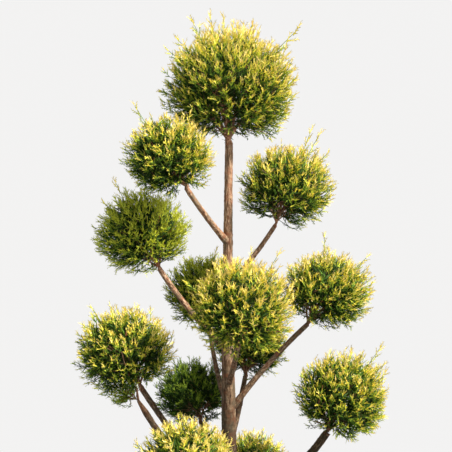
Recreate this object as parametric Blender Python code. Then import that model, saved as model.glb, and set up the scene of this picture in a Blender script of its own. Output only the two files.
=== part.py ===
"""Potted pompom topiary: a golden cypress clipped into balls on bare boughs, in a plain round pot.

Metres, +Z up. The origin is at the middle of the pot's flat underside, the tree faces -Y, and its trunk
rises along Z. Every ball of foliage is one node: a clipped core that a forked stem enters from below and
that sprays stand out of. Bare boughs join the balls to the trunk.
"""

import math
import random
from collections import namedtuple

import bmesh
import bpy
from mathutils import Matrix, Vector

UP = Vector((0, 0, 1))
CLEARANCE = 0.0003  # between one piece and the next

# Pot and soil
POT_HEIGHT = 0.330
POT_RIM_RADIUS = 0.190
POT_FOOT_RADIUS = 0.135
POT_WALL = 0.011
POT_FLOOR = 0.018
RIM_BAND_HEIGHT = 0.042
RIM_BAND_PROUD = 0.009
RIM_BAND_SLOPE = 0.002  # how much the rim band's underside rises outwards
POT_EDGE = 0.004  # width of the bevels at the pot's foot and rim
POT_SEGMENTS = 24
SOIL_LEVEL = 0.300
SOIL_CROWN = 0.006  # how much lower the soil lies at the pot's wall than at the trunk
SOIL_FLAT = 0.020  # width of the level soil round the root flare

# Trunk
TRUNK_TIP_HEIGHT = 1.549
TRUNK_FOOT_RADIUS = 0.0290
TRUNK_TIP_RADIUS = 0.0106
TRUNK_TAPER = 1.5  # above 1, the trunk thins sooner near its foot
ROOT_FLARE = 0.011
ROOT_FLARE_HEIGHT = 0.030
TRUNK_SWAY = 0.0022
TRUNK_SIDES = 10
TRUNK_RINGS = 13
RING_CROWDING = 1.6  # above 1, the trunk's rings stand closer together towards its foot
CUTTER_CLEARANCE = 1.4 * CLEARANCE  # more than CLEARANCE, as the trunk's flats lie inside its corners

# Boughs
BOUGH_SIDES = 6
BOUGH_RINGS = 7
BOUGH_TAPER = 0.82  # a bough's radius at its ball, as a share of that at the trunk
COLLAR_SWELL = 0.35  # extra radius where a bough leaves the trunk
COLLAR_REACH = 0.035

# Balls of foliage
BALL_FLATNESS = 0.93  # a ball's height over its width
ENTRY_DEPTH = 0.95  # where a bough ends, as a share of the ball's radius
CORE_REACH = (0.62, 0.70)  # in ball radii, as are all reaches and the depth of the fork
CORE_TUFT_REACH = (0.86, 0.96)
CORE_TUFT_LEAN = 0.15  # how far the core's tufts turn away from the stem
FORK_DEPTH = 0.6  # sprays grow away from a point this far below the centre
SPRAYS_PER_AREA = 730  # sprays for each square metre of radius squared
SPRAY_LENGTH = 0.70
SPRAY_TIP = (0.96, 1.05)
SPRAY_STRAY = 0.15
SPRAY_ROLL = math.radians(60)
SPRAY_HALF_THICKNESS = 0.05  # in spray lengths
STEM_CLEAR_ANGLE = math.radians(30)
LEADER_ROOT = 0.60  # a leader's root, in ball radii from the ball's centre
LEADER_STRAY = 0.15  # how far a leader may lean forwards or backwards
LEADER_RISE = 0.15  # how much higher than its root a leader aims
LEADER_ROLL = 0.4
LEADER_HALF_THICKNESS = 0.022  # in leader lengths
STEM_KNEE = 0.10  # where the stem turns towards the centre, in ball radii from the bough
FORK_ROOT = 0.08
FORK_REACH = 0.66
FORKS = 4
FORK_SPREAD = math.radians(46)
LIMB_CLEARANCE = 0.004
OWN_SPACE = 1.03  # in ball radii: other balls' sprays keep out of it
BALL_SEED = 100
TUFT_SEED = 99

# Outlines of the blades, root first, in blade lengths along and across
SPRAY_HUB = 0.68
SPRAY_OUTLINE = ((0, 0), (0.82, 0.40), (0.74, 0.14), (1, 0), (0.77, -0.15), (0.88, -0.37))
LEADER_HUB = 0.50
LEADER_OUTLINE = (
    (0, 0),
    (0.36, 0.10),
    (0.48, 0.03),
    (0.74, 0.11),
    (0.72, 0.03),
    (1, 0),
    (0.80, -0.03),
    (0.66, -0.10),
    (0.50, -0.03),
)

# A ball: its centre, radius, the height where its bough leaves the trunk, the angle from straight down at
# which the bough comes in, the bough's radius at the trunk, its bow (in bough lengths, above zero where it
# leaves the trunk steeply) and its leaders, the unclipped shoots, as (degrees from upright towards +X,
# reach in ball radii).
Ball = namedtuple("Ball", "name centre radius fork entry_deg limb bow leaders")

TOP_BALL = Ball(
    "top", (0.004, 0.000, 1.702), 0.172, None, 0, TRUNK_TIP_RADIUS, 0,
    ((-58, 1.22), (-46, 1.20), (-28, 1.30), (-15, 1.29), (-5, 1.22), (18, 1.17), (48, 1.49), (73, 1.12)),
)
BALLS = (
    TOP_BALL,
    Ball(
        "upper_left", (-0.148, -0.160, 1.504), 0.111, 1.285, 36, 0.0080, -0.02,
        ((-31, 1.54), (-22, 1.12), (25, 1.22)),
    ),
    Ball(
        "upper_right", (0.157, 0.030, 1.436), 0.125, 1.167, 16, 0.0070, -0.02,
        ((21, 1.52), (29, 1.52), (47, 1.28)),
    ),
    Ball("middle_left", (-0.231, 0.000, 1.314), 0.123, 0.999, 24, 0.0082, -0.03, ((-24, 1.46), (-48, 1.16))),
    Ball("rear_left", (-0.064, 0.220, 1.137), 0.120, 0.842, 17, 0.0070, -0.08, ((12, 1.28),)),
    Ball(
        "front_centre", (0.032, -0.220, 1.137), 0.126, 0.909, 27, 0.0074, -0.03,
        ((8, 1.32), (31, 1.42), (39, 1.18), (-63, 1.27)),
    ),
    Ball("rear_right", (0.062, 0.200, 0.985), 0.108, 0.744, 27, 0.0082, -0.04, ((24, 1.15),)),
    Ball(
        "middle_right", (0.264, 0.020, 1.157), 0.117, 0.833, 28, 0.0078, 0.025,
        ((-3, 1.48), (45, 1.40), (57, 1.18)),
    ),
    Ball("low_left", (-0.267, -0.080, 1.011), 0.123, 0.599, 22, 0.0088, -0.02, ((-33, 1.28), (-15, 1.18))),
    Ball("low_rear_left", (-0.103, 0.200, 0.847), 0.106, 0.650, 34, 0.0080, -0.04, ((10, 1.20),)),
    Ball(
        "low_right", (0.298, -0.050, 0.890), 0.122, 0.501, 21, 0.0122, -0.03,
        ((33, 1.50), (8, 1.18), (48, 1.24), (-75, 1.14)),
    ),
    Ball(
        "low_front_left", (-0.102, -0.240, 0.764), 0.120, 0.518, 30, 0.0085, -0.04,
        ((-70, 1.07), (7, 1.06)),
    ),
    Ball("low_rear_right", (0.075, 0.200, 0.643), 0.097, 0.475, 30, 0.0080, -0.04, ((13, 1.27),)),
    Ball("base_front_right", (0.180, -0.170, 0.622), 0.118, 0.448, 34, 0.0090, -0.04, ((38, 1.12),)),
    Ball("base_left", (-0.268, 0.030, 0.583), 0.118, 0.428, 36, 0.0092, -0.04, ((-40, 1.10),)),
    Ball("base_right", (0.296, 0.115, 0.553), 0.112, 0.410, 38, 0.0092, -0.04, ((45, 1.12),)),
    Ball("base_rear_left", (-0.115, 0.262, 0.552), 0.106, 0.400, 32, 0.0085, -0.04, ((-20, 1.14),)),
)
# The unclipped tuft under the low left ball has a bough of its own, and sprays but no core
TUFT = Ball("low_left_tuft", (-0.272, 0.030, 0.868), 0.062, 0.553, 50, 0.0100, -0.03, ())
TUFT_SPRAYS = 10
TUFT_SPREAD = math.radians(58)
TUFT_FLATNESS = 0.5
TUFT_REACH = (1.5, 2.1)  # a spray's length, in the tuft's radii
TUFT_STEM = 0.5  # in the tuft's radii
TUFT_ROOTS = (0.45, 0.85)  # where sprays leave the tuft's stem, as shares of its length
BOUGHED = (*BALLS[1:], TUFT)


# ---------------------------------------------------------------- mesh tools


def new_object(name, bm, material):
    bmesh.ops.recalc_face_normals(bm, faces=bm.faces)
    mesh = bpy.data.meshes.new(name)
    bm.to_mesh(mesh)
    bm.free()
    mesh.materials.append(material)
    obj = bpy.data.objects.new(name, mesh)
    bpy.context.scene.collection.objects.link(obj)
    return obj


def material(name, colour, roughness):
    made = bpy.data.materials.new(name)
    made.use_nodes = True
    shader = made.node_tree.nodes["Principled BSDF"]
    shader.inputs["Base Color"].default_value = (*colour, 1)
    shader.inputs["Roughness"].default_value = roughness
    shader.inputs["Metallic"].default_value = 0
    return made


def shade_round(obj, degrees=40):
    obj.data.shade_smooth()
    obj.data.set_sharp_from_angle(angle=math.radians(degrees))


def tube_mesh(points, radii, sides):
    """A closed tube of round rings along points, turned as little as possible from ring to ring."""
    bm = bmesh.new()
    rings = []
    across = None
    for i, point in enumerate(points):
        before, after = points[max(i - 1, 0)], points[min(i + 1, len(points) - 1)]
        along = (after - before).normalized()
        across = along.orthogonal() if across is None else across - across.dot(along) * along
        across.normalize()
        side = along.cross(across)
        ring = []
        for k in range(sides):
            turn = 2 * math.pi * k / sides
            offset = math.cos(turn) * across + math.sin(turn) * side
            ring.append(bm.verts.new(point + radii[i] * offset))
        rings.append(ring)
    for lower, upper in zip(rings, rings[1:]):
        for k in range(sides):
            j = (k + 1) % sides
            bm.faces.new((lower[k], lower[j], upper[j], upper[k]))
    bm.faces.new(rings[0])
    bm.faces.new(rings[-1])
    return bm


def blade_mesh(outline, hub, length, half_thickness, matrix):
    """A thin closed blade: an outline with one point above and one below its hub."""
    bm = bmesh.new()
    edge = [bm.verts.new(matrix @ Vector((length * x, length * y, 0))) for x, y in outline]
    for side in (1, -1):
        peak = bm.verts.new(matrix @ Vector((length * hub, 0, side * length * half_thickness)))
        for a, b in zip(edge, edge[1:] + edge[:1]):
            bm.faces.new((a, b, peak))
    return bm


# ---------------------------------------------------------------- limbs


def trunk_centre(height):
    """The trunk's axis, which sways a little on its way up."""
    share = (height - SOIL_LEVEL) / (TRUNK_TIP_HEIGHT - SOIL_LEVEL)
    return Vector(
        (
            TRUNK_SWAY * math.sin(2.2 * math.pi * share),
            TRUNK_SWAY * (math.cos(1.7 * math.pi * share) - 1),
            height,
        )
    )


def trunk_radius(height):
    share = (height - SOIL_LEVEL) / (TRUNK_TIP_HEIGHT - SOIL_LEVEL)
    flare = ROOT_FLARE * math.exp((SOIL_LEVEL - height) / ROOT_FLARE_HEIGHT)
    swell = (TRUNK_FOOT_RADIUS - TRUNK_TIP_RADIUS) * max(1 - share, 0) ** TRUNK_TAPER
    return TRUNK_TIP_RADIUS + swell + flare


def trunk_mesh(extra=0.0):
    """The trunk, or with extra a little more than the trunk, to cut the boughs' roots with."""
    foot = SOIL_LEVEL + CLEARANCE
    shares = [(i / (TRUNK_RINGS - 1)) ** RING_CROWDING for i in range(TRUNK_RINGS)]
    heights = [foot + (TRUNK_TIP_HEIGHT - foot) * share for share in shares]
    points = [trunk_centre(z) for z in heights]
    # The ends are level, so that the foot stands flat on the soil
    points[0].xy = points[1].xy = trunk_centre(foot).xy
    return tube_mesh(points, [trunk_radius(z) + extra for z in heights], TRUNK_SIDES)


def bough_tip(ball):
    """Where the bough ends, on the ball's underside and on the trunk's side of it."""
    centre = Vector(ball.centre)
    inward = -Vector((centre.x, centre.y, 0))
    inward = inward.normalized() if ball.fork is not None else Vector()
    angle = math.radians(ball.entry_deg)
    reach = ENTRY_DEPTH * ball.radius
    return centre + reach * (math.sin(angle) * inward - math.cos(angle) * BALL_FLATNESS * UP)


def bough_path(ball):
    """Points from the trunk's axis to the bough's tip, on one bowed curve."""
    start, end = trunk_centre(ball.fork), bough_tip(ball)
    chord = end - start
    outward = Vector((chord.x, chord.y, 0)).normalized()
    bow_way = (UP * chord.dot(outward) - outward * chord.dot(UP)).normalized()
    middle = (start + end) / 2 + 2 * ball.bow * chord.length * bow_way
    points = []
    for i in range(BOUGH_RINGS):
        t = i / (BOUGH_RINGS - 1)
        points.append((1 - t) ** 2 * start + 2 * t * (1 - t) * middle + t * t * end)
    return points


def bough_radii(ball, points):
    radii = []
    for i, point in enumerate(points):
        t = i / (len(points) - 1)
        collar = COLLAR_SWELL * math.exp(-((point - points[0]).length - ball.limb) / COLLAR_REACH)
        radii.append(ball.limb * (1 + (BOUGH_TAPER - 1) * t + min(collar, COLLAR_SWELL)))
    return radii


def make_trunk(bark):
    trunk = new_object("trunk", trunk_mesh(), bark)
    shade_round(trunk)
    cutter = new_object("trunk_cutter", trunk_mesh(extra=CUTTER_CLEARANCE), bark)
    cutter.hide_render = True
    cutter.display_type = "WIRE"
    return cutter


def make_bough(ball, cutter, bark):
    points = bough_path(ball)
    bough = new_object(f"bough_{ball.name}", tube_mesh(points, bough_radii(ball, points), BOUGH_SIDES), bark)
    cut = bough.modifiers.new("root_on_trunk", "BOOLEAN")
    cut.operation = "DIFFERENCE"
    cut.object = cutter
    shade_round(bough)


# ---------------------------------------------------------------- balls of foliage


def stem_start(ball):
    """The bough's tip, the way it points there and its radius."""
    if ball.fork is None:
        tip = trunk_centre(TRUNK_TIP_HEIGHT)
        return tip, UP.copy(), trunk_radius(TRUNK_TIP_HEIGHT)
    points = bough_path(ball)
    return points[-1], (points[-1] - points[-2]).normalized(), bough_radii(ball, points)[-1]


def even_directions(count):
    """Directions spread evenly over a sphere, along a golden spiral."""
    for i in range(count):
        z = 1 - (2 * i + 1) / count
        turn = i * math.pi * (3 - math.sqrt(5))
        flat = math.sqrt(1 - z * z)
        yield Vector((flat * math.cos(turn), flat * math.sin(turn), z))


def in_ball(ball, direction, reach):
    """The point at that share of the ball's radius, on the flattened ball."""
    offset = direction * reach * ball.radius
    return Vector(ball.centre) + Vector((offset.x, offset.y, offset.z * BALL_FLATNESS))


def limbs_near(ball):
    """Segments and radii of the trunk and of the other balls' boughs, which foliage keeps clear of."""
    low, high = trunk_centre(SOIL_LEVEL), trunk_centre(TRUNK_TIP_HEIGHT - 0.05)
    found = [(low, high, TRUNK_FOOT_RADIUS)]
    for other in BOUGHED:
        points = bough_path(other)
        if other is ball:
            points = points[:-2]
        found += [(a, b, other.limb) for a, b in zip(points, points[1:])]
    return found


def touches_limb(point, limbs):
    for a, b, radius in limbs:
        along = b - a
        share = min(max((point - a).dot(along) / along.length_squared, 0), 1)
        if (point - a - share * along).length < radius + LIMB_CLEARANCE:
            return True
    return False


def leaves_space(ball, point):
    """True where the point lies in another ball's own space."""
    for other in BALLS:
        offset = point - Vector(other.centre)
        offset.z /= BALL_FLATNESS
        if other is not ball and offset.length < other.radius * OWN_SPACE:
            return True
    return False


def core_mesh(ball, rng, stem_way):
    """The dense inside of the ball: a faceted ball with a short tuft standing on each facet."""
    bm = bmesh.new()
    bmesh.ops.create_icosphere(bm, subdivisions=2, radius=1)
    tufts = []
    for face in bm.faces:
        out = face.calc_center_median().normalized()
        if out.angle(stem_way) > STEM_CLEAR_ANGLE:
            tufts.append((face, (out - CORE_TUFT_LEAN * stem_way).normalized()))
    for vert in bm.verts:
        vert.co = in_ball(ball, vert.co.normalized(), rng.uniform(*CORE_REACH))
    for face, out in tufts:
        peak = bmesh.ops.poke(bm, faces=[face])["verts"][0]
        peak.co = in_ball(ball, out, rng.uniform(*CORE_TUFT_REACH))
    return bm


def stem_meshes(ball, rng):
    """The stem that goes on from the bough, and the forks that fan out of it under the core."""
    tip, along, radius = stem_start(ball)
    centre = Vector(ball.centre)
    foot = tip + CLEARANCE * along
    knee = foot + STEM_KNEE * ball.radius * along
    yield tube_mesh([foot, knee, knee.lerp(centre, 0.5)], [radius, radius, 0.6 * radius], BOUGH_SIDES)
    axis = (tip - centre).normalized()
    around = axis.orthogonal()
    for k in range(FORKS):
        turn = 2 * math.pi * (k + rng.uniform(-0.25, 0.25)) / FORKS
        lean = FORK_SPREAD * rng.uniform(0.75, 1.1)
        side = Matrix.Rotation(turn, 3, axis) @ around
        end = in_ball(ball, math.cos(lean) * axis + math.sin(lean) * side, FORK_REACH)
        root = foot + FORK_ROOT * ball.radius * along
        yield tube_mesh([root, end], [0.5 * radius, 0.35 * radius], 3)


def facing(root, tip, outward, roll):
    """The matrix of a blade from root to tip that faces outward, then rolled about its own line."""
    along = (tip - root).normalized()
    across = outward.cross(along).normalized()
    turned = Matrix.Rotation(roll, 3, along)
    axes = Matrix((along, turned @ across, turned @ along.cross(across))).transposed()
    return Matrix.Translation(root) @ axes.to_4x4()


def spray_meshes(ball, rng):
    """Sprays all over the ball, rooted in its core, but none where the stem comes in."""
    centre = Vector(ball.centre)
    tip, _, _ = stem_start(ball)
    stem_way = (tip - centre).normalized()
    limbs = limbs_near(ball)
    for direction in even_directions(round(SPRAYS_PER_AREA * ball.radius**2)):
        stray = Vector([rng.uniform(-SPRAY_STRAY, SPRAY_STRAY) for _ in range(3)])
        reach, roll = rng.uniform(*SPRAY_TIP), rng.uniform(-SPRAY_ROLL, SPRAY_ROLL)
        if direction.angle(stem_way) < STEM_CLEAR_ANGLE:
            continue
        end = in_ball(ball, (direction + stray).normalized(), reach)
        growth = (direction - FORK_DEPTH * stem_way - stray).normalized()
        length = SPRAY_LENGTH * ball.radius
        matrix = facing(end - length * growth, end, direction + 0.1 * stray.orthogonal(), roll)
        corners = [matrix @ Vector((length * x, length * y, 0)) for x, y in SPRAY_OUTLINE[1:]]
        if any(touches_limb(c, limbs) or leaves_space(ball, c) for c in corners):
            continue
        yield blade_mesh(SPRAY_OUTLINE, SPRAY_HUB, length, SPRAY_HALF_THICKNESS, matrix)


def leader_meshes(ball, rng):
    """The long unclipped shoots."""
    limbs = limbs_near(ball)
    for degrees, reach in ball.leaders:
        angle = math.radians(degrees)
        stray = rng.uniform(-LEADER_STRAY, LEADER_STRAY)
        direction = Vector((math.sin(angle), stray, math.cos(angle))).normalized()
        end = in_ball(ball, direction, reach)
        root = in_ball(ball, (direction - LEADER_RISE * UP).normalized(), LEADER_ROOT)
        if touches_limb(end, limbs) or leaves_space(ball, end):
            continue
        matrix = facing(root, end, -Vector((0, 1, 0)), rng.uniform(-LEADER_ROLL, LEADER_ROLL))
        length = (end - root).length
        yield blade_mesh(LEADER_OUTLINE, LEADER_HUB, length, LEADER_HALF_THICKNESS, matrix)


def tuft_meshes(tuft, rng):
    """A short stem with long sprays that fan out of it, flatter than they are wide."""
    tip, along, radius = stem_start(tuft)
    axis = (Vector(tuft.centre) - tip).normalized()
    level = axis.cross(UP).normalized()
    rise = level.cross(axis)
    foot = tip + CLEARANCE * along
    knee = foot + TUFT_STEM * tuft.radius * along
    yield tube_mesh([foot, knee], [radius, 0.5 * radius], BOUGH_SIDES)
    limbs = limbs_near(tuft)
    for k in range(TUFT_SPRAYS):
        turn = k * math.pi * (3 - math.sqrt(5))
        lean = TUFT_SPREAD * math.sqrt((k + 0.5) / TUFT_SPRAYS)
        side = math.cos(turn) * rise + TUFT_FLATNESS * math.sin(turn) * level
        direction = (math.cos(lean) * axis + math.sin(lean) * side).normalized()
        root = foot.lerp(knee, rng.uniform(*TUFT_ROOTS))
        end = root + rng.uniform(*TUFT_REACH) * tuft.radius * direction
        if touches_limb(end, limbs) or leaves_space(tuft, end):
            continue
        matrix = facing(root, end, rise, rng.uniform(-1, 1))
        yield blade_mesh(LEADER_OUTLINE, LEADER_HUB, (end - root).length, LEADER_HALF_THICKNESS, matrix)


def keep_largest_body(mesh):
    """Drops loose scraps, and with them the inner skins of sealed hollows, which so are filled."""
    bm = bmesh.new()
    bm.from_mesh(mesh)
    unseen = set(bm.verts)
    bodies = []
    while unseen:
        body, edge = set(), [unseen.pop()]
        while edge:
            vert = edge.pop()
            body.add(vert)
            found = {e.other_vert(vert) for e in vert.link_edges} & unseen
            unseen -= found
            edge += found
        bodies.append(body)
    bodies.sort(key=len)
    bmesh.ops.delete(bm, geom=[vert for body in bodies[:-1] for vert in body], context="VERTS")
    bm.to_mesh(mesh)
    bm.free()


def make_mass(name, first, meshes, foliage):
    """One node: the first mesh with all the others joined to it by one Boolean union."""
    mass = new_object(name, first, foliage)
    growth = bpy.data.collections.new(f"growth_{name}")
    bpy.context.scene.collection.children.link(growth)
    for bm in meshes:
        part = new_object("growth", bm, foliage)
        bpy.context.scene.collection.objects.unlink(part)
        growth.objects.link(part)
    union = mass.modifiers.new("growth", "BOOLEAN")
    union.operation = "UNION"
    union.operand_type = "COLLECTION"
    union.collection = growth
    bpy.context.view_layer.update()
    graph = bpy.context.evaluated_depsgraph_get()
    joined = bpy.data.meshes.new_from_object(mass.evaluated_get(graph), depsgraph=graph)
    keep_largest_body(joined)
    mass.modifiers.clear()
    mass.data = joined
    joined.name = name
    for part in list(growth.objects):
        bpy.data.objects.remove(part)
    bpy.data.collections.remove(growth)


def make_ball(ball, order, foliage):
    rng = random.Random(BALL_SEED + order)
    first = core_mesh(ball, rng, (stem_start(ball)[0] - Vector(ball.centre)).normalized())
    meshes = [*stem_meshes(ball, rng), *spray_meshes(ball, rng), *leader_meshes(ball, rng)]
    make_mass(f"pompom_{ball.name}", first, meshes, foliage)


def make_tuft(foliage):
    first, *sprays = tuft_meshes(TUFT, random.Random(TUFT_SEED))
    make_mass("tuft_low_left", first, sprays, foliage)


# ---------------------------------------------------------------- pot and soil


def turned(profile):
    """A solid of revolution about Z from its profile, (radius, height) points from foot to foot."""
    bm = bmesh.new()
    verts = [bm.verts.new((r, 0, z)) for r, z in profile]
    edges = [bm.edges.new(pair) for pair in zip(verts, verts[1:])]
    bmesh.ops.spin(
        bm,
        geom=verts + edges,
        cent=(0, 0, 0),
        axis=(0, 0, 1),
        angle=2 * math.pi,
        steps=POT_SEGMENTS,
        use_duplicate=False,
    )
    bmesh.ops.remove_doubles(bm, verts=bm.verts, dist=1e-5)
    return bm


def pot_radius(height):
    """The pot's outer radius below its rim band."""
    return POT_FOOT_RADIUS + (POT_RIM_RADIUS - RIM_BAND_PROUD - POT_FOOT_RADIUS) * height / POT_HEIGHT


def make_pot(clay):
    band_foot = POT_HEIGHT - RIM_BAND_HEIGHT
    inner_top = POT_RIM_RADIUS - RIM_BAND_PROUD - POT_WALL
    profile = (
        (0, 0),
        (POT_FOOT_RADIUS - POT_EDGE, 0),
        (pot_radius(POT_EDGE), POT_EDGE),
        (pot_radius(band_foot), band_foot),
        (POT_RIM_RADIUS, band_foot + RIM_BAND_SLOPE),
        (POT_RIM_RADIUS, POT_HEIGHT - POT_EDGE),
        (POT_RIM_RADIUS - POT_EDGE, POT_HEIGHT),
        (inner_top + POT_EDGE, POT_HEIGHT),
        (inner_top, POT_HEIGHT - POT_EDGE),
        (pot_radius(POT_FLOOR) - POT_WALL, POT_FLOOR),
        (0, POT_FLOOR),
    )
    pot = new_object("pot", turned(profile), clay)
    shade_round(pot, 30)


def make_soil(earth):
    """The root ball, which fills the pot to just under its rim."""

    def wall(height):
        floor_radius, top_radius = pot_radius(POT_FLOOR) - POT_WALL, pot_radius(POT_HEIGHT) - POT_WALL
        share = (height - POT_FLOOR) / (POT_HEIGHT - POT_FLOOR)
        return floor_radius + (top_radius - floor_radius) * share - 2 * CLEARANCE

    foot = POT_FLOOR + CLEARANCE
    shoulder = SOIL_LEVEL - SOIL_CROWN
    flat = TRUNK_FOOT_RADIUS + ROOT_FLARE + SOIL_FLAT
    profile = ((0, foot), (wall(foot), foot), (wall(shoulder), shoulder), (flat, SOIL_LEVEL), (0, SOIL_LEVEL))
    soil = new_object("soil", turned(profile), earth)
    shade_round(soil, 30)


def main():
    for obj in list(bpy.data.objects):
        bpy.data.objects.remove(obj)
    bark = material("bark", (0.33, 0.20, 0.12), 0.85)
    foliage = material("foliage", (0.42, 0.46, 0.06), 0.6)
    clay = material("clay", (0.52, 0.24, 0.13), 0.8)
    earth = material("earth", (0.06, 0.04, 0.03), 0.95)
    make_pot(clay)
    make_soil(earth)
    cutter = make_trunk(bark)
    for ball in BOUGHED:
        make_bough(ball, cutter, bark)
    for order, ball in enumerate(BALLS):
        make_ball(ball, order, foliage)
    make_tuft(foliage)


main()
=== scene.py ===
"""The looks of the potted pompom topiary: bark with relief, balls of golden scale-leaved sprays on forked
twigs, a clay pot, and compost with chips, on a pale floor under soft studio light.

Metres, +Z up. The tree faces -Y.
"""

import math
from collections import namedtuple

import bpy
import numpy as np
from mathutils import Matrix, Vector, noise


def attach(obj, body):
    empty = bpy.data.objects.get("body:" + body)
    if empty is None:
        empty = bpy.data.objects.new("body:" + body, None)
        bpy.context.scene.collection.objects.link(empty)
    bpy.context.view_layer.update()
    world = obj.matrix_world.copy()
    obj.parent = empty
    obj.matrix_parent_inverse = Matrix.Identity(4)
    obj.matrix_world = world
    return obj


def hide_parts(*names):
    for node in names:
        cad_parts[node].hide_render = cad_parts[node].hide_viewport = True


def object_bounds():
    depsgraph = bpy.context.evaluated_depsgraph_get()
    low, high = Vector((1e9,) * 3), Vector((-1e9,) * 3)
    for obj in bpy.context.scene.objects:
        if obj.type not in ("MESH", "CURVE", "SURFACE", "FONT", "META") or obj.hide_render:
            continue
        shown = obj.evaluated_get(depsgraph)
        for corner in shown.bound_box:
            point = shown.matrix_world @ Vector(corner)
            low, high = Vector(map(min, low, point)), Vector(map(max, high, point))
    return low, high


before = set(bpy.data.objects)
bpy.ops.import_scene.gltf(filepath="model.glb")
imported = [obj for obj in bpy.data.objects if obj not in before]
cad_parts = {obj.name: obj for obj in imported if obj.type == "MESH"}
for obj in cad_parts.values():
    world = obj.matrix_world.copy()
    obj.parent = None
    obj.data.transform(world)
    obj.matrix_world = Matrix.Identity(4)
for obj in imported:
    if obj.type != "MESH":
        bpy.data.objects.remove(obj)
cad_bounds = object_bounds()

UP = Vector((0, 0, 1))
GOLDEN_TURN = math.pi * (3 - math.sqrt(5))

# View and light
PHOTO_HALF_WIDTH = 0.6027  # half the width that the photograph shows at the trunk
CAMERA_DISTANCE = 2.2
CAMERA_HEIGHT = 1.33
CAMERA_SIDE = -0.0067
SENSOR_WIDTH = 36
SUN_FROM = Vector((0.66, -0.32, 0.68)).normalized()
GOLD_AND_PAINTED_LIGHT_FROM = Vector((0.36, -0.30, 0.88)).normalized()  # the side where growth is most golden, partly real sun-ripened gold and partly painted light from the sun's side
SUN_ENERGY = 10.3
SUN_ANGLE = math.radians(9)
SUN_COLOUR = (1, 0.96, 0.88)
SKY_LIGHT = 0.73
SKY_COLOUR = (0.93, 0.96, 1)
BACKDROP_COLOUR = (0.895, 0.89, 0.885)
FLOOR_COLOUR = (0.315, 0.324, 0.345)
FLOOR_RADIUS = 2.4
FLOOR_DROP = 0.0005  # how far it lies under the pot's foot

# Pot and soil, as in the solids
POT_HEIGHT = 0.330
POT_RIM_RADIUS = 0.190
POT_FOOT_RADIUS = 0.135
POT_WALL = 0.011
POT_LIP = 0.004  # the radius that rounds its edges
POT_LIP_POINTS = 6
POT_SIDES = 128
THROWING_MARKS = 0.0002  # how deep the wheel's marks are
THROWING_TURNS = 420  # radians of them for each metre of height
RIM_BAND_HEIGHT = 0.042
RIM_BAND_PROUD = 0.009
SOIL_LEVEL = 0.300
SOIL_CROWN = 0.006
SOIL_GAP = 0.0006  # between the soil and the pot's wall
SOIL_SKIN = 0.0035  # how far the lumpy top's mean lies under the soil's level
SOIL_LUMPS = 0.003
SOIL_RINGS = 60
SOIL_SIDES = 150
POT_INSIDE_FOOT = SOIL_LEVEL - 0.02  # the pot's inside is finished down to here
CHIPS = 620
CHIP_SIZE = (0.0014, 0.0042)
CHIP_WIDTH = 0.6  # in chip sizes
CHIP_THICKNESS = 0.4
CHIP_CLEAR_RADIUS = 0.045  # no chips nearer to the trunk

# Trunk and boughs, as in the solids
TRUNK_TIP_HEIGHT = 1.549
TRUNK_FOOT_RADIUS = 0.0290
TRUNK_TIP_RADIUS = 0.0106
TRUNK_TAPER = 1.5  # above 1, the trunk thins sooner near its foot
ROOT_FLARE = 0.011
ROOT_FLARE_HEIGHT = 0.030
TRUNK_SWAY = 0.0022
BOUGH_TAPER = 0.82
COLLAR_SWELL = 0.35
COLLAR_REACH = 0.035

# Bark relief
BARK_RING_STEP = 0.0028
TRUNK_SIDES = 60
BOUGH_SIDES = 26
BARK_STRETCH = 3.0  # how much longer the bark's furrows are than wide
BARK_RELIEF = 0.11  # in limb radii
BARK_GRAIN_RADIUS = 0.016  # a limb of this radius has the bark's grain at its own scale
BARK_END = 0.008  # how far from its tip a limb's bark is rounded off, where the stem comes out of it
BARK_END_SIZE = 0.82
LIMB_LIFT = 0.0003  # how far the trunk's bark starts over the soil
STEM_LAP = 0.014  # how far inside the limb the stem starts
KNOTS_PER_METRE = 42
KNOT_SIZE = 0.0046  # on a limb of radius 0.015
KNOT_LIFT = 0.5  # in knot sizes
KNOT_PIT = 0.15
BARK_DARKENING_HEIGHTS = (0.78, 1.25)  # below the first height the bark is darkest, and above the second palest
LOW_BARK_TONE = (0.205, 0.200, 0.160)
HIGH_BARK_TONE = (0.80, 0.74, 0.66)
LOW_LIMBLET_TONE = (0.36, 0.28, 0.21)
HIGH_LIMBLET_TONE = (0.92, 0.72, 0.60)

# Balls of foliage
BALL_FLATNESS = 0.93
ENTRY_DEPTH = 0.95
FORK_DEPTH = 0.6
STEM_CLEAR_ANGLE = math.radians(34)
UNDERSIDE_ANGLE = math.radians(84)  # nearer to the stem than this, a ball is more and more open
UNDERSIDE_GROWTH = 0.2  # how much longer sprays are towards the stem
CLEARING_EDGE = 0.4  # below 1, sprays thin out late and soon end
LIGHT_LEAN = 0.35  # how far sprays turn up towards the light
SPRAYS_PER_AREA = 54000  # sprays for each square metre of radius squared
PLUME_SPRAYS = 6  # in one plume, about
PLUME_PULL = 0.38  # how far a plume's sprays draw together
PLUME_STRAY = 0.16
SPRAY_STRAY = 0.13
LEAFY_TWIG_ANGLE = math.radians(78)  # nearer to the stem than this, twiglets have leaves of their own
LEAFY_TWIG_DEPTH = 0.66  # in ball radii
LEAFY_TWIG_START = 0.3  # their share that is bare
LEAFY_TWIG_LEAST = 0.012  # the shortest leafy part
SPRAY_LENGTH = (0.030, 0.046)
LIMB_ROOM = 0.003  # how far spray tips stay clear of bark
OWN_BOUGH_SHARE = 0.72  # a ball's sprays may come near its own bough beyond this share of it
REACH_OUT = 0.004  # how far spray tips may pass the box of the solids
SHELLS = ((0.13, 1.02, 1.13), (0.49, 0.88, 1.03), (0.38, 0.74, 0.90))  # share, and reach in ball radii
SPRAY_ARCH = 0.10  # in spray lengths
SPRAY_DEPTH = 0.75  # a spray's thickness over its width
BRANCHLET_RADIUS = (0.0011, 0.0016)
SCALE_SHOOTS = 6  # on each branchlet
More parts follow.
